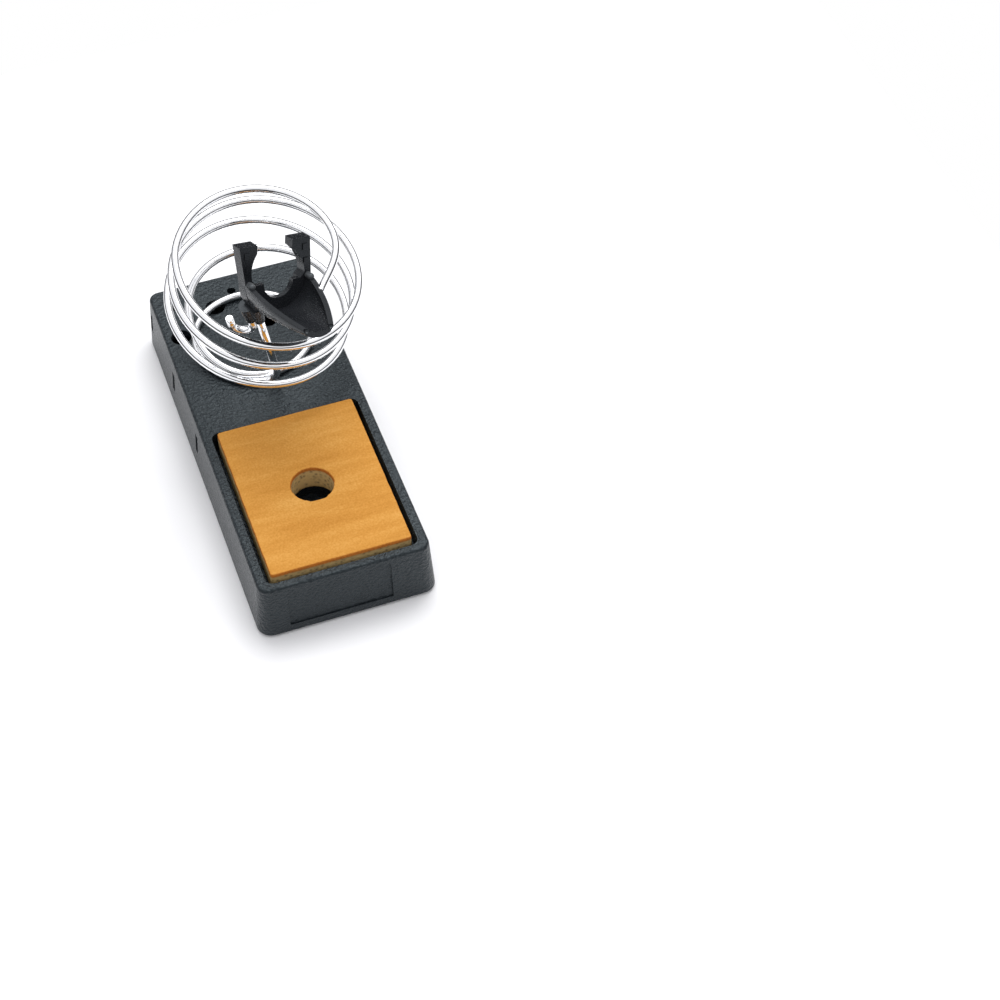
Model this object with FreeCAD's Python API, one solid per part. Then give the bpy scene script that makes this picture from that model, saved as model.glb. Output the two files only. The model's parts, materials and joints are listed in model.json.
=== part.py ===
import FreeCAD, Part
import math
import os

# Soldering iron stand: a heavy rectangular base with a sponge pocket, a leaning coil of bent wire
# and a guide for the iron that is carried on the coil's own wire.
# Frame: millimetres, +Z up, +X right, +Y to the back.
# The origin is the centre of the bottom plate's underside.

V = FreeCAD.Vector
UP = V(0, 0, 1)

# ---- base housing
TOP_WIDTH = 66.0
TOP_LENGTH = 164.0
BASE_HEIGHT = 24.0
DRAFT = 1.75
CORNER_R = 4.0
TOP_EDGE_R = 1.2
WALL = 2.6
ROOF = 2.8
SMALLEST_R = 0.8
OVERCUT = 1.0
HOLE_PLAY = 0.1
TOUCH = 0.01

# ---- sponge and its pocket
SPONGE_WIDTH = 55.0
SPONGE_LENGTH = 75.0
SPONGE_THICK = 11.5
SPONGE_CORNER_R = 1.0
SPONGE_HOLE_R = 8.0
POCKET_CENTRE_Y = -40.0
POCKET_WIDTH = 58.6
POCKET_LENGTH = 78.0
POCKET_DEPTH = 9.0
POCKET_CORNER_R = 3.0
TUB_WALL = 1.9
SUMP_R = 9.0
SUMP_DEPTH = 5.0

# ---- holes in the roof that hold spare tips, and slots in the side walls
BIG_TIP_R = 4.0
SMALL_TIP_R = 1.75
BIG_TIP_HOLES = [(-26.4, 53.6), (-9.1, 65.4), (8.9, 51.7)]
SMALL_TIP_HOLES = [(-24.6, 70.4), (-0.5, 72.3)]
SLOT_WIDTH = 3.0
SLOT_HEIGHT = 9.0
SLOT_CENTRE_Z = 12.5
SLOT_YS = [6.7, 41.8, 76.9]
SLOT_DEPTH = 1.6
PANEL_WIDTH = 40.0
PANEL_HEIGHT = 17.5
PANEL_CENTRE = (-3.0, 12.0)
PANEL_DEPTH = 0.5
PANEL_CUTTER = 3.0

# ---- underside
PLATE_THICK = 1.2
PLATE_GAP = 0.25
COLUMN_R = 3.6
COLUMN_XY = (26.0, 74.5)
SCREW_R = 1.45
SCREW_HOLE_R = 1.5
SCREW_HEAD_R = 2.8
SCREW_HEAD_THICK = 1.1
SCREW_LENGTH = 8.5
SCREW_HOLE_DEPTH = 9.0
DRIVE_LENGTH = 3.4
DRIVE_WIDTH = 0.7
DRIVE_DEPTH = 0.6
FOOT_XY = (22.0, 62.0)
FOOT_R = 6.0
FOOT_THICK = 1.4
FOOT_STEM_R = 2.5
FOOT_BEAD_R = 3.4
FOOT_BEAD_THICK = 1.6
FOOT_EDGE_R = 0.4
BALLAST_WIDTH = 54.0
BALLAST_Y = (5.0, 43.0)
BALLAST_THICK = 6.0
BALLAST_SCREW_X = 20.0
BALLAST_CORNER_R = 3.0
BALLAST_HEAD_THICK = 1.8
BALLAST_THREAD = 1.7

# ---- coil wire
WIRE_R = 1.5
TOP_OF_AXIS = V(7.5, 23.0, 88.5)
LEAN_X = 0.15
LEAN_Y = -0.28
COIL_R = 35.3
COIL_PITCH = 13.8
START_ANGLE = -40.0
START_R = 20.3
GROW_TURNS = 0.57
GROW_POWER = 0.7
WIRE_JOIN = 0.08
WIRE_END = V(12.2, -9.5, -3.0)
SHRINK_TURNS = (3.24, 3.64)
LANDING_TURNS = (3.05, 4.12)
LAST_TURN = 4.88
STEPS_PER_TURN = 12
SHORTEST_RUN = 0.01
RING_CENTRE = V(0.7, 44.1, BASE_HEIGHT + WIRE_R + 0.02)
RING_R = 23.1
FLARE_FROM = 4.62
FLARE = 3.4
POST_TOP = V(-4.2, 6.6, 74.5)

# ---- clip that holds the foot ring down
CLIP_ANGLE = 30.0
CLIP_WIDTH = 6.0
CLIP_THICK = 1.0
CLIP_REACH = 7.5
CLIP_PLAY = 0.05
CLIP_HEAD_THICK = 1.9
CLIP_HEAD_ROUND = 0.8
CLIP_DRIVE = (4.0, 0.8, 0.7)
CLIP_THREAD_OUT = 1.0
NUT_R = 3.1
NUT_THICK = 2.4

# ---- guide for the iron, in its own frame: the tongue points to -Y, the prongs to +Z
GUIDE_PLACE = V(5.6, 8.8, 86.0)
GUIDE_YAW = 17.5
GUIDE_PITCH = -16.0
GUIDE_ROLL = 17.0
YOKE_THICK = 5.2
RING_THICK = 2.4
HEAD_DROP = 3.2
THROAT_DROP = 7.6
THROAT_IN = 0.9
ROOT_RISE = 2.0
PAD_SIZE = (2.0, 0.8, 2.6)
PAD_IN = 2.65
PAD_DROPS = (3.6, 9.2)
YOKE_R = 14.0
NOTCH_R = 6.2
SHOULDER_X = 9.4
SHOULDER_Z = -0.4
PRONG_TOP = 15.3
PRONG_LEAN = -2.0
PRONG_OUT_X = 15.0
PRONG_IN_X = 7.4
PRONG_ROOT_X = 11.2
TROUGH_LENGTH = 32.0
TROUGH_WALL = 2.2
TROUGH_HALF = (14.0, 6.2)
TROUGH_RIM_Z = (0.5, -6.4)
TROUGH_FLOOR_Z = (-13.4, -10.0)
TROUGH_SHIFT = -2.0
PIN_SHANK_R = 0.8
PIN_HEAD_R = 1.3
PIN_X = 12.6
PIN_Z = 0.4
PIN_REACH = 2.2
BOSS_LOW_R = 2.1
BOSS_HIGH_R = 2.9
BOSS_LENGTH = 10.0
BOSS_GRIP = 5.0
BEAD_R = 1.3
SECTIONS = 6
BOW_POINTS = 9
TAPER_POWER = 1.9

# ---- hook beside the post
HOOK_OFFSET = V(-2.9, 1.6, 0)
HOOK_ASIDE = V(-0.94, 0.34, 0)
HOOK_LIMB_GAP = 8.0
HOOK_GRIP = 2.0
HOOK_DROP = 11.5
HOOK_END = 9.0


def put(node, shape):
    shape.exportStep(os.path.join("parts", node + ".step"))


def cylinder(radius, height, base, direction=UP):
    return Part.makeCylinder(radius, height, base, direction)


def fuse_all(shapes):
    return shapes[0].multiFuse(shapes[1:]).removeSplitter()


def rounded_rectangle(width, length, radius, z, centre_y=0.0):
    """Closed wire of a rectangle with round corners at height z."""
    x = width / 2
    y = length / 2
    edges = []
    corners = [(x - radius, y - radius, 0), (radius - x, y - radius, 90),
               (radius - x, radius - y, 180), (x - radius, radius - y, 270)]
    for cx, cy, start in corners:
        centre = V(cx, cy + centre_y, z)
        circle = Part.Circle(centre, UP, radius)
        edges.append(Part.Arc(circle, math.radians(start), math.radians(start + 90)).toShape())
    ends = [(e.valueAt(e.FirstParameter), e.valueAt(e.LastParameter)) for e in edges]
    path = []
    for i, edge in enumerate(edges):
        path.append(edge)
        path.append(Part.makeLine(ends[i][1], ends[(i + 1) % 4][0]))
    return Part.Wire(path)


def rounded_block(width, length, radius, low, high, centre_y=0.0):
    face = Part.Face(rounded_rectangle(width, length, radius, low, centre_y))
    return face.extrude(V(0, 0, high - low))


def drafted_block(inset, low, high):
    """The base's drafted outline, moved in by inset, between two heights."""
    wires = []
    for z in (low, high):
        grow = DRAFT * (1 - z / BASE_HEIGHT) - inset
        radius = max(CORNER_R + grow, SMALLEST_R)
        wires.append(rounded_rectangle(TOP_WIDTH + 2 * grow, TOP_LENGTH + 2 * grow, radius, z))
    return Part.makeLoft(wires, True, True)


def corners(xy):
    x, y = xy
    return [(x, y), (-x, y), (-x, -y), (x, -y)]


# ------------------------------------------------------------------ base

def clip_screw_place():
    angle = math.radians(CLIP_ANGLE)
    reach = RING_R + CLIP_REACH
    return V(RING_CENTRE.x + reach * math.cos(angle), RING_CENTRE.y + reach * math.sin(angle), BASE_HEIGHT)


def ballast_screw_places():
    y = sum(BALLAST_Y) / 2
    return [V(-BALLAST_SCREW_X, y, 0), V(BALLAST_SCREW_X, y, 0)]


def base_housing():
    outer = drafted_block(0, 0, BASE_HEIGHT)
    rim = [e for e in outer.Edges if min(v.Z for v in e.Vertexes) > BASE_HEIGHT - TOUCH]
    outer = outer.makeFillet(TOP_EDGE_R, rim)
    roof_low = BASE_HEIGHT - ROOF
    inner = drafted_block(WALL, -OVERCUT, roof_low)
    floor_z = BASE_HEIGHT - POCKET_DEPTH
    tub = rounded_block(POCKET_WIDTH + 2 * TUB_WALL, POCKET_LENGTH + 2 * TUB_WALL, POCKET_CORNER_R,
                        floor_z - TUB_WALL, roof_low + OVERCUT, POCKET_CENTRE_Y)
    sump_low = floor_z - SUMP_DEPTH
    sump_wall = cylinder(SUMP_R + TUB_WALL, SUMP_DEPTH, V(0, POCKET_CENTRE_Y, sump_low - TUB_WALL))
    inside = [tub, sump_wall]
    for x, y in corners(COLUMN_XY):
        top = floor_z if y < 0 else roof_low + OVERCUT
        inside.append(cylinder(COLUMN_R, top - PLATE_THICK, V(x, y, PLATE_THICK)))
    inside = fuse_all(inside).common(drafted_block(WALL / 2, 0, BASE_HEIGHT))
    shell = fuse_all([outer.cut(inner), inside])

    cuts = [rounded_block(POCKET_WIDTH, POCKET_LENGTH, POCKET_CORNER_R, floor_z,
                          BASE_HEIGHT + OVERCUT, POCKET_CENTRE_Y),
            cylinder(SUMP_R, SUMP_DEPTH + OVERCUT, V(0, POCKET_CENTRE_Y, sump_low))]
    for radius, places in ((BIG_TIP_R, BIG_TIP_HOLES), (SMALL_TIP_R, SMALL_TIP_HOLES)):
        cuts += [cylinder(radius, ROOF + 2 * OVERCUT, V(x, y, roof_low - OVERCUT)) for x, y in places]
    clip_hole = clip_screw_place() - UP * (ROOF + OVERCUT)
    cuts.append(cylinder(SCREW_HOLE_R + HOLE_PLAY, ROOF + 2 * OVERCUT, clip_hole))
    cuts += [cylinder(SCREW_HOLE_R, SCREW_HOLE_DEPTH, V(x, y, 0)) for x, y in corners(COLUMN_XY)]
    cuts += [cylinder(SCREW_HOLE_R, BALLAST_THREAD + HOLE_PLAY, place + UP * roof_low)
             for place in ballast_screw_places()]
    for side in (-1, 1):
        half = TOP_WIDTH / 2 + DRAFT * (1 - SLOT_CENTRE_Z / BASE_HEIGHT)
        for y in SLOT_YS:
            slot = Part.makeBox(2 * SLOT_DEPTH, SLOT_WIDTH, SLOT_HEIGHT)
            slot.translate(V(side * half - SLOT_DEPTH, y - SLOT_WIDTH / 2, SLOT_CENTRE_Z - SLOT_HEIGHT / 2))
            cuts.append(slot)
    panel_low = V(PANEL_CENTRE[0] - PANEL_WIDTH / 2, 0, PANEL_CENTRE[1] - PANEL_HEIGHT / 2)
    panel = Part.makeBox(PANEL_WIDTH, PANEL_CUTTER, PANEL_HEIGHT, panel_low)
    slope = math.degrees(math.atan(DRAFT / BASE_HEIGHT))
    panel.rotate(V(0, 0, PANEL_CENTRE[1]), V(1, 0, 0), -slope)
    front = TOP_LENGTH / 2 + DRAFT * (1 - PANEL_CENTRE[1] / BASE_HEIGHT)
    panel.translate(V(0, PANEL_DEPTH - PANEL_CUTTER - front, 0))
    cuts.append(panel)
    return shell.cut(cuts)


def bottom_plate():
    inner = drafted_block(WALL + PLATE_GAP, 0, PLATE_THICK)
    depth = PLATE_THICK + 2 * OVERCUT
    cuts = [cylinder(SCREW_HOLE_R + HOLE_PLAY, depth, V(x, y, -OVERCUT)) for x, y in corners(COLUMN_XY)]
    cuts += [cylinder(FOOT_STEM_R, depth, V(x, y, -OVERCUT)) for x, y in corners(FOOT_XY)]
    return inner.cut(cuts)


def bottom_screws():
    screws = []
    for x, y in corners(COLUMN_XY):
        head = cylinder(SCREW_HEAD_R, SCREW_HEAD_THICK, V(x, y, -SCREW_HEAD_THICK))
        shank = cylinder(SCREW_R, SCREW_LENGTH, V(x, y, 0))
        drive = Part.makeBox(DRIVE_LENGTH, DRIVE_WIDTH, DRIVE_DEPTH,
                             V(x - DRIVE_LENGTH / 2, y - DRIVE_WIDTH / 2, -SCREW_HEAD_THICK))
        screws.append(head.fuse(shank).cut(drive).removeSplitter())
    return Part.makeCompound(screws)


def rubber_foot(x, y):
    pad = cylinder(FOOT_R, FOOT_THICK, V(x, y, -FOOT_THICK))
    rim = [e for e in pad.Edges if e.Closed and abs(e.Vertexes[0].Z + FOOT_THICK) < TOUCH]
    pad = pad.makeFillet(FOOT_EDGE_R, rim)
    stem = cylinder(FOOT_STEM_R, PLATE_THICK, V(x, y, 0))
    bead = cylinder(FOOT_BEAD_R, FOOT_BEAD_THICK, V(x, y, PLATE_THICK))
    return fuse_all([pad, stem, bead])


def ballast_plate():
    high = BASE_HEIGHT - ROOF
    length = BALLAST_Y[1] - BALLAST_Y[0]
    low = high - BALLAST_THICK
    plate = rounded_block(BALLAST_WIDTH, length, BALLAST_CORNER_R, low, high, sum(BALLAST_Y) / 2)
    cuts = [cylinder(SCREW_HOLE_R + HOLE_PLAY, BALLAST_THICK + 2 * OVERCUT, place + UP * (low - OVERCUT))
            for place in ballast_screw_places()]
    return plate.cut(cuts)


def ballast_screws():
    low = BASE_HEIGHT - ROOF - BALLAST_THICK
    screws = []
    for place in ballast_screw_places():
        head = cylinder(SCREW_HEAD_R, BALLAST_HEAD_THICK, place + UP * (low - BALLAST_HEAD_THICK))
        shank = cylinder(SCREW_R, BALLAST_THICK + BALLAST_THREAD, place + UP * low)
        screws.append(head.fuse(shank).removeSplitter())
    return Part.makeCompound(screws)


def sponge():
    low = BASE_HEIGHT - POCKET_DEPTH
    high = low + SPONGE_THICK
    body = rounded_block(SPONGE_WIDTH, SPONGE_LENGTH, SPONGE_CORNER_R, low, high, POCKET_CENTRE_Y)
    hole = cylinder(SPONGE_HOLE_R, SPONGE_THICK + 2 * OVERCUT, V(0, POCKET_CENTRE_Y, low - OVERCUT))
    return body.cut(hole)


# ------------------------------------------------------------------ wire work

def smooth_step(value, span):
    x = min(max((value - span[0]) / (span[1] - span[0]), 0.0), 1.0)
    return x * x * (3 - 2 * x)


def coil_point(turn, spread=1.0):
    """Centre of the wire after so many turns: a leaning coil that closes into a flat foot ring.
    A spread above 1 gives the corner points around which arcs of the true radius are bent."""
    axis = V(LEAN_X, LEAN_Y, 1).normalize()
    side = V(0, 1, 0).cross(axis).normalize()
    back = axis.cross(side)
    angle = math.radians(START_ANGLE + 360 * turn)
    grown = min(max(turn / GROW_TURNS, 0.0), 1.0) ** GROW_POWER
    radius = (START_R + (COIL_R - START_R) * grown) * spread
    coil = TOP_OF_AXIS - axis * (COIL_PITCH * turn)
    coil = coil + side * (radius * math.cos(angle)) + back * (radius * math.sin(angle))
    ring_r = (RING_R + FLARE * smooth_step(turn, (FLARE_FROM, LAST_TURN))) * spread
    ring = RING_CENTRE + V(ring_r * math.cos(angle), ring_r * math.sin(angle), 0)
    closing = smooth_step(turn, SHRINK_TURNS)
    landing = smooth_step(turn, LANDING_TURNS)
    point = coil * (1 - closing) + ring * closing
    point.z = coil.z * (1 - landing) + ring.z * landing
    return point


def bent_rod(points, radius):
    """Round rod through straight runs joined by tangent arcs, one arc at each inner point."""
    edges = []
    start = points[0]
    for before, here, after in zip(points, points[1:], points[2:]):
        back = before - here
        ahead = after - here
        reach = min(back.Length, ahead.Length) / 2
        first = here + back.normalize() * reach
        last = here + ahead.normalize() * reach
        half = (math.pi - back.getAngle(ahead)) / 2
        bend_r = reach / math.tan(half)
        centre = here + (back + ahead).normalize() * (bend_r / math.cos(half))
        middle = centre + (here - centre).normalize() * bend_r
        if (first - start).Length > SHORTEST_RUN:
            edges.append(Part.makeLine(start, first))
        else:
            first = start
        edges.append(Part.Arc(first, middle, last).toShape())
        start = last
    edges.append(Part.makeLine(start, points[-1]))
    path = Part.Wire(edges)
    profile = Part.Wire(Part.makeCircle(radius, points[0], points[1] - points[0]))
    return path.makePipeShell([profile], True, False)


def wire_end():
    """Where the wire's upper end enters the trough's right wall."""
    return place_guide(Part.Vertex(0, 0, 0)).Placement.multVec(WIRE_END)


def coil_wire():
    steps = int((LAST_TURN - WIRE_JOIN) * STEPS_PER_TURN)
    turns = [WIRE_JOIN + i * (LAST_TURN - WIRE_JOIN) / steps for i in range(steps + 1)]
    spread = 1 / math.cos(math.pi / STEPS_PER_TURN)
    points = [coil_point(turn, spread) for turn in turns[:-1]]
    return bent_rod([wire_end()] + points + [coil_point(LAST_TURN), POST_TOP], WIRE_R)


def ring_clip():
    """Strap over the foot ring with one tail, in a frame where the wire runs along Y through the origin."""
    inner = WIRE_R + CLIP_PLAY
    outer = inner + CLIP_THICK
    hoop = cylinder(outer, CLIP_WIDTH, V(0, -CLIP_WIDTH / 2, 0), V(0, 1, 0))
    legs = Part.makeBox(2 * outer, CLIP_WIDTH, WIRE_R, V(-outer, -CLIP_WIDTH / 2, -WIRE_R))
    tail = Part.makeBox(CLIP_REACH, CLIP_WIDTH, CLIP_THICK, V(0, -CLIP_WIDTH / 2, -WIRE_R))
    tip = cylinder(CLIP_WIDTH / 2, CLIP_THICK, V(CLIP_REACH, 0, -WIRE_R))
    strap = fuse_all([hoop, legs, tail, tip])
    below = Part.makeBox(4 * outer, 2 * CLIP_WIDTH, outer, V(-2 * outer, -CLIP_WIDTH, -WIRE_R - outer))
    groove = cylinder(inner, 2 * CLIP_WIDTH, V(0, -CLIP_WIDTH, 0), V(0, 1, 0))
    slot = Part.makeBox(2 * inner, 2 * CLIP_WIDTH, outer, V(-inner, -CLIP_WIDTH, -outer))
    hole = cylinder(SCREW_HOLE_R + HOLE_PLAY, CLIP_THICK + 2 * OVERCUT, V(CLIP_REACH, 0, -WIRE_R - OVERCUT))
    strap = strap.cut([below, groove, slot, hole])
    angle = math.radians(CLIP_ANGLE)
    place = V(RING_CENTRE.x + RING_R * math.cos(angle), RING_CENTRE.y + RING_R * math.sin(angle),
              BASE_HEIGHT + WIRE_R)
    strap.Placement = FreeCAD.Placement(place, FreeCAD.Rotation(UP, CLIP_ANGLE))
    return strap.cut(coil_wire())


def clip_screw():
    place = clip_screw_place()
    low = ROOF + NUT_THICK + CLIP_THREAD_OUT
    top = CLIP_THICK + CLIP_HEAD_THICK
    shank = cylinder(SCREW_R, low + CLIP_THICK, place - UP * low)
    head = cylinder(SCREW_HEAD_R, CLIP_HEAD_THICK, place + UP * CLIP_THICK)
    rim = [e for e in head.Edges if e.Closed and e.Vertexes[0].Z > place.z + top - TOUCH]
    head = head.makeFillet(CLIP_HEAD_ROUND, rim)
    length, width, depth = CLIP_DRIVE
    drive = Part.makeBox(length, width, depth + OVERCUT, place + V(-length / 2, -width / 2, top - depth))
    return shank.fuse(head).cut(drive).removeSplitter()


def clip_nut():
    place = clip_screw_place() - UP * (ROOF + NUT_THICK)
    points = []
    for i in range(7):
        angle = math.radians(60 * i)
        points.append(place + V(NUT_R * math.cos(angle), NUT_R * math.sin(angle), 0))
    nut = Part.Face(Part.makePolygon(points)).extrude(V(0, 0, NUT_THICK))
    return nut.cut(cylinder(SCREW_HOLE_R, NUT_THICK + 2 * OVERCUT, place - UP * OVERCUT))


# ------------------------------------------------------------------ guide for the iron

def place_guide(shape):
    turn = FreeCAD.Rotation(UP, GUIDE_YAW)
    turn = turn.multiply(FreeCAD.Rotation(V(1, 0, 0), GUIDE_PITCH))
    turn = turn.multiply(FreeCAD.Rotation(V(0, 1, 0), GUIDE_ROLL))
    shape.Placement = FreeCAD.Placement(GUIDE_PLACE, turn)
    return shape


def into_guide(point):
    """A point of the stand's frame in the guide's own frame."""
    frame = place_guide(Part.Vertex(0, 0, 0)).Placement
    return frame.inverse().multVec(point)


def pin_shapes():
    """Two pins through the yoke, each with a domed head at the start of the trough's rim."""
    pins = []
    for side in (-1, 1):
        shank = cylinder(PIN_SHANK_R, YOKE_THICK, V(side * PIN_X, 0, PIN_Z), V(0, 1, 0))
        head = cylinder(PIN_HEAD_R, PIN_REACH, V(side * PIN_X, -PIN_REACH, PIN_Z), V(0, 1, 0))
        dome = Part.makeSphere(PIN_HEAD_R, V(side * PIN_X, -PIN_REACH, PIN_Z))
        pins.append(fuse_all([shank, head, dome]))
    return pins


def yoke_pins():
    return place_guide(Part.makeCompound(pin_shapes()))


def iron_yoke():
    """C-shaped collar: a round lower half, a stepped notch and two prongs with hooked heads."""
    def prong(side):
        outer_low = V(side * YOKE_R, 0, 0)
        outer_top = V(side * PRONG_OUT_X + PRONG_LEAN, 0, PRONG_TOP)
        inner_top = V(side * PRONG_IN_X + PRONG_LEAN, 0, PRONG_TOP)
        hook_low = V(side * PRONG_IN_X + PRONG_LEAN, 0, PRONG_TOP - HEAD_DROP)
        root = V(side * PRONG_ROOT_X, 0, SHOULDER_Z + ROOT_RISE)
        throat = V(side * (PRONG_ROOT_X - THROAT_IN) + PRONG_LEAN / 2, 0, PRONG_TOP - THROAT_DROP)
        shoulder = V(side * SHOULDER_X, 0, SHOULDER_Z)
        notch = V(side * NOTCH_R, 0, SHOULDER_Z)
        return [Part.makeLine(outer_low, outer_top), Part.makeLine(outer_top, inner_top),
                Part.makeLine(inner_top, hook_low), Part.Arc(hook_low, throat, root).toShape(),
                Part.makeLine(root, shoulder), Part.makeLine(shoulder, notch)]

    notch_arc = Part.Arc(V(-NOTCH_R, 0, SHOULDER_Z), V(0, 0, SHOULDER_Z - NOTCH_R),
                         V(NOTCH_R, 0, SHOULDER_Z)).toShape()
    rim = Part.Arc(V(-YOKE_R, 0, 0), V(0, 0, -YOKE_R), V(YOKE_R, 0, 0)).toShape()
    outline = Part.Wire(Part.sortEdges([rim, notch_arc] + prong(1) + prong(-1))[0])
    plate = Part.Face(outline).extrude(V(0, YOKE_THICK, 0))
    thinned = cylinder(SHOULDER_X, YOKE_THICK, V(0, RING_THICK, SHOULDER_Z), V(0, 1, 0))
    plate = plate.cut(thinned)
    pads = []
    width, depth, height = PAD_SIZE
    for side in (-1, 1):
        for drop in PAD_DROPS:
            middle = side * (PRONG_OUT_X - PAD_IN) + PRONG_LEAN * (1 - drop / PRONG_TOP)
            low = V(middle - width / 2, -depth / 2, PRONG_TOP - drop - height / 2)
            pads.append(Part.makeBox(width, depth, height, low))
    plate = fuse_all([plate] + pads + boss_shape())
    return place_guide(plate.cut(pin_shapes())).cut([coil_wire(), funnel_hook()])


def trough_section(share):
    """Closed U outline of the trough, at a share of the way from the yoke to the tongue's tip."""
    y = -TROUGH_LENGTH * share
    half = TROUGH_HALF[0] + (TROUGH_HALF[1] - TROUGH_HALF[0]) * share ** TAPER_POWER
    middle = TROUGH_SHIFT * share
    rim = TROUGH_RIM_Z[0] + (TROUGH_RIM_Z[1] - TROUGH_RIM_Z[0]) * share
    floor = TROUGH_FLOOR_Z[0] + (TROUGH_FLOOR_Z[1] - TROUGH_FLOOR_Z[0]) * share

    def bow(half_width, depth):
        points = []
        for i in range(BOW_POINTS):
            angle = math.pi * (1 + i / (BOW_POINTS - 1))
            points.append(V(middle + half_width * math.cos(angle), y, rim + depth * math.sin(angle)))
        curve = Part.BSplineCurve()
        curve.interpolate(points)
        return curve.toShape()

    outer = bow(half, rim - floor)
    inner = bow(half - TROUGH_WALL, rim - floor - TROUGH_WALL)
    ends = [(half, half - TROUGH_WALL), (-half, TROUGH_WALL - half)]
    lips = [Part.makeLine(V(middle + a, y, rim), V(middle + b, y, rim)) for a, b in ends]
    return Part.Wire(Part.sortEdges([outer, inner] + lips)[0])


def post_direction():
    return (POST_TOP - coil_point(LAST_TURN)).normalize()


def boss_shape():
    """Tapered boss under the yoke, in the guide's frame, that grips the post and the hook's limb."""
    cones = []
    for offset in (V(0, 0, 0), HOOK_OFFSET):
        top = into_guide(POST_TOP + offset)
        along = into_guide(POST_TOP + offset + post_direction()) - top
        cones.append(Part.makeCone(BOSS_LOW_R, BOSS_HIGH_R, BOSS_LENGTH, top - along * BOSS_GRIP, along))
    return cones


def guide_trough():
    shell = Part.makeLoft([trough_section(i / (SECTIONS - 1)) for i in range(SECTIONS)], True, False)
    half = TROUGH_HALF[1] - TROUGH_WALL / 2
    beads = [Part.makeSphere(BEAD_R, V(TROUGH_SHIFT + side * half, -TROUGH_LENGTH, TROUGH_RIM_Z[1]))
             for side in (-1, 1)]
    body = fuse_all([shell] + beads)
    return place_guide(body.cut(pin_shapes())).cut([iron_yoke(), coil_wire()])


def funnel_hook():
    """Bent wire beside the post: a limb held in the boss, a U bend and a short cut end."""
    along = post_direction()
    high = POST_TOP + HOOK_OFFSET - along * HOOK_GRIP
    low = high - along * HOOK_DROP
    turned = low + HOOK_ASIDE * HOOK_LIMB_GAP
    return bent_rod([high, low, turned, turned + along * HOOK_END], WIRE_R)


def build():
    os.makedirs("parts", exist_ok=True)
    put("base_housing", base_housing())
    put("bottom_plate", bottom_plate())
    put("bottom_screws", bottom_screws())
    x, y = FOOT_XY
    for node, fx, fy in (("foot_front_left", -x, -y), ("foot_front_right", x, -y),
                         ("foot_rear_left", -x, y), ("foot_rear_right", x, y)):
        put(node, rubber_foot(fx, fy))
    put("ballast_plate", ballast_plate())
    put("ballast_screws", ballast_screws())
    put("sponge", sponge())
    put("coil_wire", coil_wire())
    put("ring_clip", ring_clip())
    put("clip_screw", clip_screw())
    put("clip_nut", clip_nut())
    put("iron_yoke", iron_yoke())
    put("yoke_pins", yoke_pins())
    put("guide_trough", guide_trough())
    put("funnel_hook", funnel_hook())


if __name__ == "__main__":
    build()
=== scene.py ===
import json
import math

import bmesh
import bpy
from mathutils import Matrix, Vector, noise


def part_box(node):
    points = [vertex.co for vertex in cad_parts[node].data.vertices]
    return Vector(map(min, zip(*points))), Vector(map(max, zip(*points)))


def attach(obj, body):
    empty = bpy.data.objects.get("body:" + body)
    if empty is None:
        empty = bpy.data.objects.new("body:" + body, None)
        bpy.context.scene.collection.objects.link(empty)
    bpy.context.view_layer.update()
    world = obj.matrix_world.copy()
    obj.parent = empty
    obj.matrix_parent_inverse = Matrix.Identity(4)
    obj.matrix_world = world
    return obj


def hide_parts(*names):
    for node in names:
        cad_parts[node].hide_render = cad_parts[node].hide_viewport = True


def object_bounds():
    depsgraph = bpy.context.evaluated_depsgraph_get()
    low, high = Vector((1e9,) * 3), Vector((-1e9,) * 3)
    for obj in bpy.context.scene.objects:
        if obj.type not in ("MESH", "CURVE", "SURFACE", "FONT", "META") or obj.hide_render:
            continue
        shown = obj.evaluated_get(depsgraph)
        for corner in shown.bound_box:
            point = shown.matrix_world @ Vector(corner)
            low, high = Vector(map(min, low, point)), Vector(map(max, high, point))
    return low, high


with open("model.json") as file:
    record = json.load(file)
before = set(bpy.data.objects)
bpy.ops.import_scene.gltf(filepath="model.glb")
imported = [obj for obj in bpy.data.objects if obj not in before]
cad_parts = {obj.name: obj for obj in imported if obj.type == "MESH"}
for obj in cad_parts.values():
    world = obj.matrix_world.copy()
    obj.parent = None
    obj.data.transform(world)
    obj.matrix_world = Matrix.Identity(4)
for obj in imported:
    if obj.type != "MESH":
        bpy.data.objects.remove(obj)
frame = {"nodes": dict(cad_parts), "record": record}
CAD_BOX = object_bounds()

MM = 0.001
SHARP_ANGLE = 32.0

# ---- camera: the stand seen from the front left and above, millimetres and degrees
CAMERA_TARGET = Vector((71.2, -50.5, 0.0))
CAMERA_DISTANCE = 896.0
CAMERA_AZIMUTH = -19.9
CAMERA_ELEVATION = 49.8
CAMERA_LENS = 82.96
SENSOR_WIDTH = 36.0
CLIP_START_M = 0.01

# ---- the bent wire, as in the CAD model: millimetres, degrees and turns of the coil
WIRE_R = 1.5
TOP_OF_AXIS = Vector((7.5, 23.0, 88.5))
LEAN = Vector((0.15, -0.28, 1.0))
COIL_R = 35.3
COIL_PITCH = 13.8
START_ANGLE = -40.0
START_R = 20.3
GROW_TURNS = 0.57
GROW_POWER = 0.7
WIRE_JOIN = 0.08
WIRE_END = Vector((12.2, -9.5, -3.0))
GUIDE_PLACE = Vector((5.6, 8.8, 86.0))
GUIDE_YAW = 17.5
GUIDE_PITCH = -16.0
GUIDE_ROLL = 17.0
SHRINK_TURNS = (3.24, 3.64)
LANDING_TURNS = (3.05, 4.12)
LAST_TURN = 4.88
RING_CENTRE = Vector((0.7, 44.1, 25.52))
RING_R = 23.1
FLARE_FROM = 4.62
FLARE = 3.4
POST_TOP = Vector((-4.2, 6.6, 74.5))
FOOT_BEND = 6.0
HOOK_OFFSET = Vector((-2.9, 1.6, 0))
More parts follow.
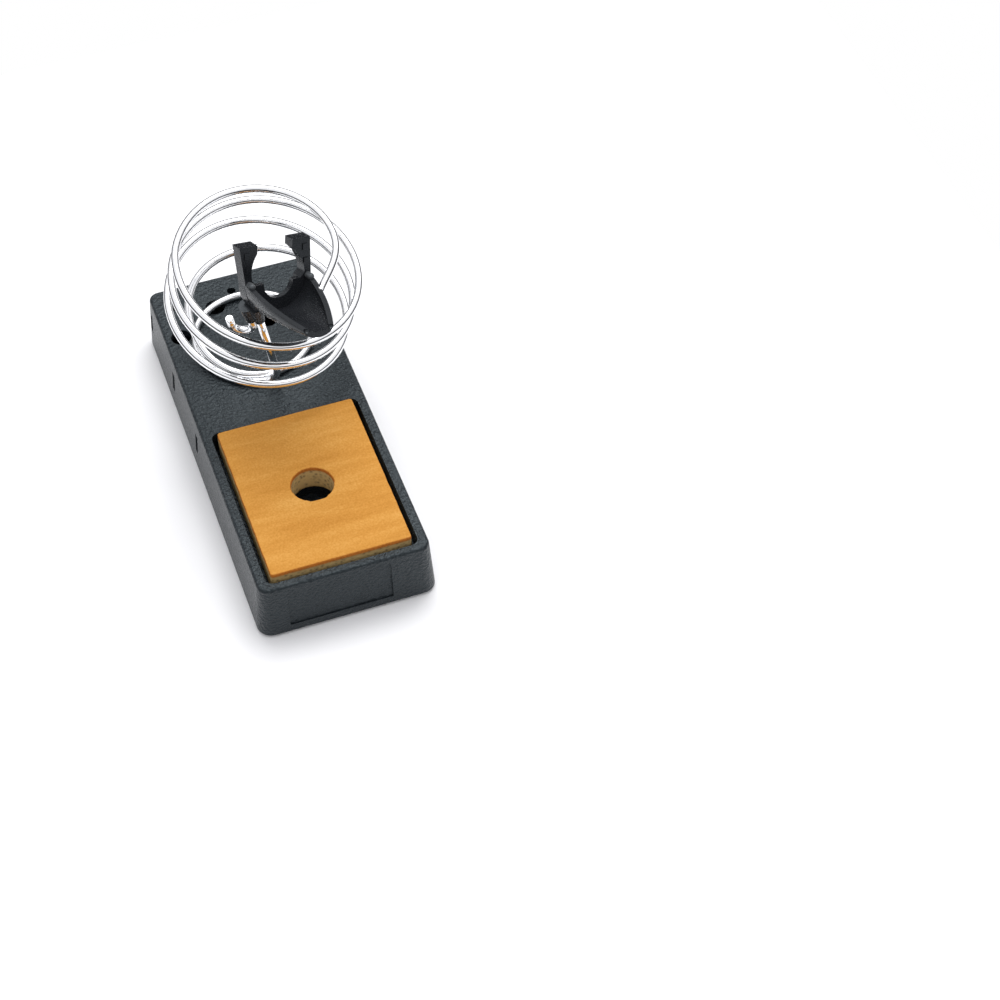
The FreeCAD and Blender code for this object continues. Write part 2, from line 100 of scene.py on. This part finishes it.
HOOK_ASIDE = Vector((-0.94, 0.34, 0))
HOOK_GAP = 8.0
HOOK_GRIP = 2.0
HOOK_DROP = 11.5
HOOK_END = 9.0

# ---- how finely the wire is drawn
WIRE_SIDES = 24
WIRE_CHAMFER = 0.25
POINTS_A_TURN = 72
BEND_STEPS = 12
LEAD_STEPS = 16
LEAD_TURNS = 0.04
TANGENT_TURNS = 0.002

# ---- light: sine of the height above the horizon, and the level reflected from there
SKY = [(0.0, 0.015), (0.14, 0.02), (0.30, 0.45), (0.50, 1.0), (1.0, 1.0)]
SKY_BLUE = 1.02

# ---- lamp, metres and watts
LIGHT_PLACE = (0.30, 0.45, 1.2)
LIGHT_SIZE = (0.9, 0.8)
LIGHT_POWER = 10.0

# ---- floor, metres
FLOOR_HALF = 0.29
FLOOR_CENTRE = (0.03, -0.02)
FLOOR_CELLS = 4

# ---- sponge, metres
HOLE_R = 0.008
DRILL_DEPTH = 0.04
DRILL_SIDES = 64
VOXEL = 0.0006
CORNER_R = 0.001
CORNER_STEPS = 4
SIDE_GAP = 0.0006
TOP_GAP = 0.0002
RELAX_FACTOR = 0.5
RELAX_ROUNDS = 3
SKIN_Z = (0.0243, 0.0252)

# ---- sponge's roughness: cells to the metre, depths in metres
WAVES = (60, 260, 120)
WAVE_DEPTH = 0.00012
PORES = 750.0
PORE_DEPTH = 0.0005
PORE_EDGE = 0.42
SKIN_INSET = 0.00008


# ------------------------------------------------------------------ material helpers

class Surface:
    """A node material with short calls for the nodes used here."""

    def __init__(self, name, colour, roughness, metallic=0.0):
        self.material = bpy.data.materials.new(name)
        self.material.use_nodes = True
        self.nodes = self.material.node_tree.nodes
        self.links = self.material.node_tree.links
        self.shader = self.nodes["Principled BSDF"]
        self.shader.inputs["Base Color"].default_value = (*colour, 1)
        self.shader.inputs["Roughness"].default_value = roughness
        self.shader.inputs["Metallic"].default_value = metallic
        self.place = self.nodes.new("ShaderNodeTexCoord").outputs["Object"]

    def node(self, kind, **values):
        made = self.nodes.new(kind)
        for key, value in values.items():
            if key in made.inputs:
                made.inputs[key].default_value = value
            else:
                setattr(made, key, value)
        return made

    def noise(self, scale, detail=3.0, roughness=0.5, stretch=None):
        made = self.node("ShaderNodeTexNoise", Scale=scale, Detail=detail, Roughness=roughness)
        self.links.new(self.stretched(stretch), made.inputs["Vector"])
        return made.outputs["Fac"]

    def cells(self, scale):
        made = self.node("ShaderNodeTexVoronoi", Scale=scale)
        self.links.new(self.place, made.inputs["Vector"])
        return made.outputs["Distance"]

    def stretched(self, stretch):
        if stretch is None:
            return self.place
        mapping = self.node("ShaderNodeMapping")
        mapping.inputs["Scale"].default_value = stretch
        self.links.new(self.place, mapping.inputs["Vector"])
        return mapping.outputs["Vector"]

    def ramp(self, value, stops):
        made = self.node("ShaderNodeValToRGB")
        ramp = made.color_ramp
        while len(ramp.elements) < len(stops):
            ramp.elements.new(0.5)
        for element, (position, colour) in zip(ramp.elements, stops):
            element.position = position
            element.color = (*colour, 1)
        self.links.new(value, made.inputs["Fac"])
        return made.outputs["Color"]

    def span(self, value, low, high, start=0.0, end=1.0):
        made = self.node("ShaderNodeMapRange")
        made.inputs["From Min"].default_value = start
        made.inputs["From Max"].default_value = end
        made.inputs["To Min"].default_value = low
        made.inputs["To Max"].default_value = high
        self.links.new(value, made.inputs["Value"])
        return made.outputs["Result"]

    def mix(self, share, first, second):
        made = self.node("ShaderNodeMix", data_type="RGBA")
        for key, value in (("Factor", share), ("A", first), ("B", second)):
            self.links.new(value, made.inputs[key])
        return made.outputs["Result"]

    def math(self, operation, first, second):
        made = self.node("ShaderNodeMath", operation=operation)
        for socket, value in zip(made.inputs, (first, second)):
            if isinstance(value, bpy.types.NodeSocket):
                self.links.new(value, socket)
            else:
                socket.default_value = value
        return made.outputs["Value"]

    def colour(self, value):
        self.links.new(value, self.shader.inputs["Base Color"])

    def rough(self, value):
        self.links.new(value, self.shader.inputs["Roughness"])

    def bump(self, height, distance, strength):
        made = self.node("ShaderNodeBump", Distance=distance, Strength=strength)
        self.links.new(height, made.inputs["Height"])
        previous = self.shader.inputs["Normal"]
        if previous.links:
            self.links.new(previous.links[0].from_socket, made.inputs["Normal"])
        self.links.new(made.outputs["Normal"], previous)


# ------------------------------------------------------------------ materials

def powder_coat():
    """Fine textured black coat on a casting: small grains, soft orange peel, faint dust."""
    s = Surface("cast_black", (0.055, 0.058, 0.061), 0.42)
    grain = s.cells(1500.0)
    speck = s.noise(2600.0, 2.0)
    cloud = s.noise(28.0, 4.0)
    tone = s.math("ADD", s.math("MULTIPLY", speck, 0.75), s.math("MULTIPLY", cloud, 0.25))
    s.colour(s.ramp(tone, [(0.30, (0.005, 0.007, 0.009)), (0.52, (0.010, 0.013, 0.016)),
                           (0.75, (0.026, 0.030, 0.034))]))
    s.rough(s.span(s.math("ADD", speck, grain), 0.24, 0.38, 0.3, 1.3))
    s.bump(s.noise(850.0, 2.5), 0.0009, 0.8)
    s.bump(grain, 0.00006, 0.35)
    s.shader.inputs["Specular IOR Level"].default_value = 0.42
    s.shader.inputs["Specular Tint"].default_value = (0.82, 0.95, 1.0, 1)
    return s.material


def bright_wire():
    """Bright plated spring wire: mirror-like, with faint clouding in tone and roughness."""
    s = Surface("bright_wire", (0.93, 0.94, 0.95), 0.06, 1.0)
    cloud = s.noise(120.0, 3.0)
    s.colour(s.ramp(cloud, [(0.3, (0.86, 0.87, 0.89)), (0.7, (0.97, 0.975, 0.98))]))
    s.rough(s.span(cloud, 0.05, 0.09, 0.3, 0.7))
    return s.material


def moulded_plastic(name, dark, light, roughness):
    """Satin heat-resistant moulding with a fine spark-eroded grain."""
    s = Surface(name, dark, roughness)
    cloud = s.noise(90.0, 4.0)
    s.colour(s.ramp(cloud, [(0.3, dark), (0.7, light)]))
    s.rough(s.span(s.noise(1800.0, 2.0), roughness - 0.06, roughness + 0.08, 0.3, 0.7))
    s.bump(s.noise(2200.0, 2.0), 0.00001, 0.12)
    s.shader.inputs["Specular IOR Level"].default_value = 0.4
    s.shader.inputs["Specular Tint"].default_value = (0.85, 0.94, 1.0, 1)
    return s.material


def sponge_foam():
    """Orange cellulose sponge: dense smooth skin on top, open paler pores on the sides, the pore
    centres darkened with painted shade.
    """
    s = Surface("sponge_foam", (0.73, 0.34, 0.075), 0.9)
    normal = s.node("ShaderNodeNewGeometry")
    split = s.node("ShaderNodeSeparateXYZ")
    s.links.new(normal.outputs["Normal"], split.inputs["Vector"])
    facing_up = s.span(split.outputs["Z"], 0.0, 1.0, 0.55, 0.95)
    wavy = s.noise(55.0, 5.0, 0.6, (0.45, 2.6, 1.0))
    fine = s.noise(1300.0, 3.0)
    skin_tone = s.math("ADD", s.math("MULTIPLY", wavy, 0.55), s.math("MULTIPLY", fine, 0.45))
    skin = s.ramp(skin_tone, [(0.32, (0.48, 0.20, 0.028)), (0.5, (0.58, 0.265, 0.048)),
                              (0.68, (0.68, 0.35, 0.085))])
    # Side colour from the pore cells: the dark cell centres are painted shade inside the pores, the
    # paler rest is the cut foam's own tone.
    pores = s.cells(620.0)
    side = s.ramp(pores, [(0.05, (0.20, 0.13, 0.055)), (0.28, (0.46, 0.33, 0.15)),
                          (0.6, (0.62, 0.44, 0.19))])
    height = s.node("ShaderNodeSeparateXYZ")
    s.links.new(s.place, height.inputs["Vector"])
    near_top = s.span(height.outputs["Z"], 0.0, 1.0, *SKIN_Z)
    skin_edge = s.ramp(fine, [(0.3, (0.40, 0.12, 0.014)), (0.7, (0.56, 0.18, 0.024))])
    edge = s.mix(near_top, side, skin_edge)
    s.colour(s.mix(facing_up, edge, skin))
    s.bump(s.noise(60.0, 5.0, 0.6, (0.45, 2.6, 1.0)), 0.0007, 0.5)
    s.bump(fine, 0.00022, 0.6)
    s.shader.inputs["Specular IOR Level"].default_value = 0.25
    return s.material


def plated_steel(name, tint, roughness):
    """Zinc plated steel with a fine brushed grain and soft clouding."""
    s = Surface(name, tint, roughness, 1.0)
    cloud = s.noise(45.0, 4.0)
    s.colour(s.ramp(cloud, [(0.3, tuple(0.8 * c for c in tint)), (0.7, tint)]))
    brushed = s.noise(700.0, 3.0, 0.5, (1.0, 0.05, 1.0))
    s.rough(s.span(brushed, roughness - 0.08, roughness + 0.1, 0.3, 0.7))
    s.bump(s.noise(700.0, 2.0, 0.5, (1.0, 0.05, 1.0)), 0.00002, 0.3)
    return s.material


def foot_rubber():
    """Dull black rubber with a fine tooth."""
    s = Surface("foot_rubber", (0.02, 0.02, 0.021), 0.75)
    cloud = s.noise(140.0, 4.0)
    s.colour(s.ramp(cloud, [(0.3, (0.014, 0.014, 0.015)), (0.7, (0.034, 0.034, 0.035))]))
    s.bump(s.noise(1500.0, 3.0), 0.00006, 0.5)
    return s.material


def pale_floor():
    """Nearly white table top with a faint cloud in it."""
    s = Surface("pale_floor", (0.88, 0.88, 0.88), 0.55)
    s.colour(s.ramp(s.noise(3.0, 2.0), [(0.3, (0.91, 0.91, 0.92)), (0.7, (0.93, 0.93, 0.94))]))
    s.shader.inputs["Specular IOR Level"].default_value = 0.2
    return s.material


# ------------------------------------------------------------------ wire work

def smooth_step(value, span):
    x = min(max((value - span[0]) / (span[1] - span[0]), 0.0), 1.0)
    return x * x * (3 - 2 * x)


def coil_point(turn):
    """Centre of the wire after so many turns, in millimetres."""
    axis = LEAN.normalized()
    side = Vector((0, 1, 0)).cross(axis).normalized()
    back = axis.cross(side)
    angle = math.radians(START_ANGLE + 360 * turn)
    grown = min(max(turn / GROW_TURNS, 0.0), 1.0) ** GROW_POWER
    radius = START_R + (COIL_R - START_R) * grown
    coil = TOP_OF_AXIS - axis * (COIL_PITCH * turn)
    coil = coil + side * (radius * math.cos(angle)) + back * (radius * math.sin(angle))
    ring_r = RING_R + FLARE * smooth_step(turn, (FLARE_FROM, LAST_TURN))
    ring = RING_CENTRE + Vector((ring_r * math.cos(angle), ring_r * math.sin(angle), 0))
    closing = smooth_step(turn, SHRINK_TURNS)
    landing = smooth_step(turn, LANDING_TURNS)
    point = coil * (1 - closing) + ring * closing
    point.z = coil.z * (1 - landing) + ring.z * landing
    return point


def bend(before, here, after, reach):
    """Points of the arc that rounds the corner at here, starting reach away from it."""
    back = (before - here).normalized()
    ahead = (after - here).normalized()
    half = (math.pi - back.angle(ahead)) / 2
    radius = reach / math.tan(half)
    centre = here + (back + ahead).normalized() * (radius / math.cos(half))
    first = here + back * reach - centre
    turn_axis = first.cross(here + ahead * reach - centre).normalized()
    turns = [Matrix.Rotation(2 * half * i / BEND_STEPS, 3, turn_axis) for i in range(BEND_STEPS + 1)]
    return [centre + turn @ first for turn in turns]


def rod(name, points):
    """Wire along points, in millimetres, with a small chamfer at both cut ends."""
    mesh = bmesh.new()
    count = len(points)
    tangents = []
    for i in range(count):
        ahead = points[min(i + 1, count - 1)] - points[max(i - 1, 0)]
        tangents.append(ahead.normalized())
    across = tangents[0].orthogonal().normalized()
    centres = list(points)
    centres[0] = points[0] + tangents[0] * WIRE_CHAMFER
    centres[-1] = points[-1] - tangents[-1] * WIRE_CHAMFER
    stations = [(points[0], tangents[0], WIRE_R - WIRE_CHAMFER)]
    stations += [(centre, tangent, WIRE_R) for centre, tangent in zip(centres, tangents)]
    stations.append((points[-1], tangents[-1], WIRE_R - WIRE_CHAMFER))
    rings = []
    for centre, tangent, size in stations:
        across = (across - tangent * across.dot(tangent)).normalized()
        other = tangent.cross(across)
        ring = []
        for k in range(WIRE_SIDES):
            angle = 2 * math.pi * k / WIRE_SIDES
            spot = centre + across * (size * math.cos(angle)) + other * (size * math.sin(angle))
            ring.append(mesh.verts.new(spot * MM))
        rings.append(ring)
    for first, second in zip(rings, rings[1:]):
        for k in range(WIRE_SIDES):
            after = (k + 1) % WIRE_SIDES
            face = mesh.faces.new((first[k], first[after], second[after], second[k]))
            face.smooth = True
    mesh.faces.new(list(reversed(rings[0])))
    mesh.faces.new(rings[-1])
    return finish_mesh(name, mesh)


def finish_mesh(name, mesh):
    mesh.normal_update()
    data = bpy.data.meshes.new(name)
    mesh.to_mesh(data)
    mesh.free()
    piece = bpy.data.objects.new(name, data)
    bpy.context.scene.collection.objects.link(piece)
    return piece


def wire_end():
    """Where the wire's upper end enters the trough's right wall."""
    turn = Matrix.Rotation(math.radians(GUIDE_YAW), 3, "Z")
    turn = turn @ Matrix.Rotation(math.radians(GUIDE_PITCH), 3, "X")
    turn = turn @ Matrix.Rotation(math.radians(GUIDE_ROLL), 3, "Y")
    return GUIDE_PLACE + turn @ WIRE_END


def lead_in(start, towards, joined, onward):
    """Smooth curve from start, first heading towards a point, to joined, heading onward."""
    reach = (joined - start).length / 3
    handles = [start, start + (towards - start).normalized() * reach,
               joined - onward.normalized() * reach, joined]
    points = []
    for i in range(LEAD_STEPS):
        t = i / LEAD_STEPS
        weights = ((1 - t) ** 3, 3 * t * (1 - t) ** 2, 3 * t * t * (1 - t), t ** 3)
        parts = [handle * weight for handle, weight in zip(handles, weights)]
        points.append(sum(parts, Vector()))
    return points


def coil_wire():
    """Lead-in from the trough, coil, foot ring, tight bend and post, as one wire."""
    first = WIRE_JOIN + LEAD_TURNS
    ring_end = LAST_TURN - FOOT_BEND / (2 * math.pi * (RING_R + FLARE))
    steps = int((ring_end - first) * POINTS_A_TURN)
    onward = coil_point(first + TANGENT_TURNS) - coil_point(first)
    points = lead_in(wire_end(), coil_point(WIRE_JOIN), coil_point(first), onward)
    points += [coil_point(first + i * (ring_end - first) / steps) for i in range(steps)]
    points += bend(coil_point(ring_end), coil_point(LAST_TURN), POST_TOP, FOOT_BEND)
    return rod("bent_coil_wire", points + [POST_TOP])


def hook_wire():
    """Short wire that goes down beside the post, turns twice and ends cut off."""
    along = (POST_TOP - coil_point(LAST_TURN)).normalized()
    high = POST_TOP + HOOK_OFFSET - along * HOOK_GRIP
    low = high - along * HOOK_DROP
    turned = low + HOOK_ASIDE * HOOK_GAP
    end = turned + along * HOOK_END
    points = [high] + bend(high, low, turned, HOOK_GAP / 2)
    points += bend(low, turned, end, HOOK_GAP / 2)[1:] + [end]
    return rod("hook_wire", points)


# ------------------------------------------------------------------ sponge

def foam_sponge():
    """Sponge block with a round hole, remeshed and roughened, in the place of its CAD solid."""
    low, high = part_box("sponge")
    size = high - low
    centre = (low + high) / 2
    mesh = bmesh.new()
    bmesh.ops.create_cube(mesh, size=1.0)
    shrink = Vector((SIDE_GAP, SIDE_GAP, TOP_GAP))
    for vert in mesh.verts:
        vert.co = centre + Vector(vert.co[i] * (size[i] - shrink[i]) for i in range(3))
    upright = [e for e in mesh.edges if abs((e.verts[0].co - e.verts[1].co).normalized().z) > 0.9]
    bmesh.ops.bevel(mesh, geom=upright, offset=CORNER_R, segments=CORNER_STEPS, affect="EDGES",
                    profile=0.5)
    block = finish_mesh("foam_sponge", mesh)
    drill = bmesh.new()
    bmesh.ops.create_cone(drill, cap_ends=True, segments=DRILL_SIDES, radius1=HOLE_R, radius2=HOLE_R,
                          depth=DRILL_DEPTH)
    bmesh.ops.translate(drill, verts=drill.verts, vec=centre)
    cutter = finish_mesh("cutter", drill)
    hole = block.modifiers.new("hole", "BOOLEAN")
    hole.object = cutter
    hole.operation = "DIFFERENCE"
    voxels = block.modifiers.new("voxels", "REMESH")
    voxels.mode = "VOXEL"
    voxels.voxel_size = VOXEL
    relax = block.modifiers.new("relax", "SMOOTH")
    relax.factor = RELAX_FACTOR
    relax.iterations = RELAX_ROUNDS
    apply_modifiers(block)
    bpy.data.objects.remove(cutter)
    roughen(block, high.z - TOP_GAP)
    for polygon in block.data.polygons:
        polygon.use_smooth = True
    return block


def roughen(block, top):
    """Long waves all over and pores in the walls, with nothing above the height top."""
    for vert in block.data.vertices:
        place = vert.co.copy()
        wall = 1.0 - max(vert.normal.z, 0.0) ** 2
        wave = noise.noise(Vector(place[i] * WAVES[i] for i in range(3)))
        pits = noise.voronoi(place * PORES)[0][0]
        depth = WAVE_DEPTH * wave - wall * PORE_DEPTH * max(0.0, PORE_EDGE - pits)
        vert.co += vert.normal * (depth - SKIN_INSET)
        vert.co.z = min(vert.co.z, top)


def apply_modifiers(piece):
    graph = bpy.context.evaluated_depsgraph_get()
    data = bpy.data.meshes.new_from_object(piece.evaluated_get(graph))
    piece.modifiers.clear()
    piece.data = data


# ------------------------------------------------------------------ stage

def add_camera():
    azimuth = math.radians(CAMERA_AZIMUTH)
    elevation = math.radians(CAMERA_ELEVATION)
    back = Vector((math.sin(azimuth) * math.cos(elevation), -math.cos(azimuth) * math.cos(elevation),
                   math.sin(elevation)))
    data = bpy.data.cameras.new("camera")
    data.lens = CAMERA_LENS
    data.sensor_width = SENSOR_WIDTH
    data.clip_start = CLIP_START_M
    camera = bpy.data.objects.new("camera", data)
    camera.location = (CAMERA_TARGET + back * CAMERA_DISTANCE) * MM
    camera.rotation_euler = back.to_track_quat("Z", "Y").to_euler()
    bpy.context.scene.collection.objects.link(camera)
    bpy.context.scene.camera = camera


def add_light():
    """Large soft lamp behind and above the stand, turned to the origin."""
    data = bpy.data.lights.new("overhead", "AREA")
    data.shape = "RECTANGLE"
    data.size, data.size_y = LIGHT_SIZE
    data.energy = LIGHT_POWER
    light = bpy.data.objects.new("overhead", data)
    light.location = LIGHT_PLACE
    light.rotation_euler = Vector(LIGHT_PLACE).to_track_quat("Z", "Y").to_euler()
    bpy.context.scene.collection.objects.link(light)


def add_world():
    """White backdrop for the eye; in reflections a bright ceiling over dark surroundings, which
    draws the dark lines along the wires."""
    world = bpy.data.worlds.new("studio")
    world.use_nodes = True
    bpy.context.scene.world = world
    nodes = world.node_tree.nodes
    links = world.node_tree.links
    place = nodes.new("ShaderNodeTexCoord")
    split = nodes.new("ShaderNodeSeparateXYZ")
    ramp = nodes.new("ShaderNodeValToRGB")
    links.new(place.outputs["Generated"], split.inputs["Vector"])
    links.new(split.outputs["Z"], ramp.inputs["Fac"])
    while len(ramp.color_ramp.elements) < len(SKY):
        ramp.color_ramp.elements.new(0.5)
    for element, (position, level) in zip(ramp.color_ramp.elements, SKY):
        element.position = position
        element.color = (level, level, level * SKY_BLUE, 1)
    seen = nodes.new("ShaderNodeLightPath")
    blend = nodes.new("ShaderNodeMix")
    blend.data_type = "RGBA"
    blend.inputs["B"].default_value = (1, 1, 1, 1)
    links.new(seen.outputs["Is Camera Ray"], blend.inputs["Factor"])
    links.new(ramp.outputs["Color"], blend.inputs["A"])
    links.new(blend.outputs["Result"], nodes["Background"].inputs["Color"])
    nodes["Background"].inputs["Strength"].default_value = 1.0


def add_floor():
    mesh = bmesh.new()
    bmesh.ops.create_grid(mesh, x_segments=FLOOR_CELLS, y_segments=FLOOR_CELLS, size=FLOOR_HALF)
    floor = finish_mesh("floor", mesh)
    floor.location = (*FLOOR_CENTRE, CAD_BOX[0][2])
    floor.data.materials.append(pale_floor())


def use_material(piece, material):
    piece.data.materials.clear()
    piece.data.materials.append(material)


def soften(piece):
    """Smooth shading, with edges sharper than SHARP_ANGLE kept crisp."""
    for polygon in piece.data.polygons:
        polygon.use_smooth = True
    piece.data.set_sharp_from_angle(angle=math.radians(SHARP_ANGLE))


# ------------------------------------------------------------------ scene

add_camera()
add_world()
add_floor()
add_light()

coat = powder_coat()
wire_finish = bright_wire()
plastic = moulded_plastic("guide_plastic", (0.010, 0.011, 0.013), (0.017, 0.018, 0.021), 0.26)
steel = plated_steel("screw_steel", (0.62, 0.63, 0.65), 0.3)
FINISHES = {
    "cast_black": coat,
    "bright_wire": wire_finish,
    "guide_plastic": plastic,
    "screw_steel": steel,
    "zinc_sheet": plated_steel("zinc_sheet", (0.56, 0.57, 0.60), 0.38),
    "ballast_iron": plated_steel("ballast_iron", (0.23, 0.23, 0.24), 0.55),
    "foot_rubber": foot_rubber(),
    "sponge_foam": sponge_foam(),
    "pin_plastic": moulded_plastic("pin_plastic", (0.06, 0.065, 0.07), (0.09, 0.095, 0.10), 0.3),
}
SLOTS = {row["node"]: row["material_slot"] for row in frame["record"]["subparts"]}
for node, piece in frame["nodes"].items():
    use_material(piece, FINISHES[SLOTS[node]])
    soften(piece)

NEW_PIECES = [(coil_wire(), "coil_wire", "stand"), (hook_wire(), "funnel_hook", "stand"),
              (foam_sponge(), "sponge", "sponge")]
for piece, node, body in NEW_PIECES:
    use_material(piece, FINISHES[SLOTS[node]])
    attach(piece, body)
    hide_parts(node)

bpy.context.scene.view_settings.view_transform = "Standard"
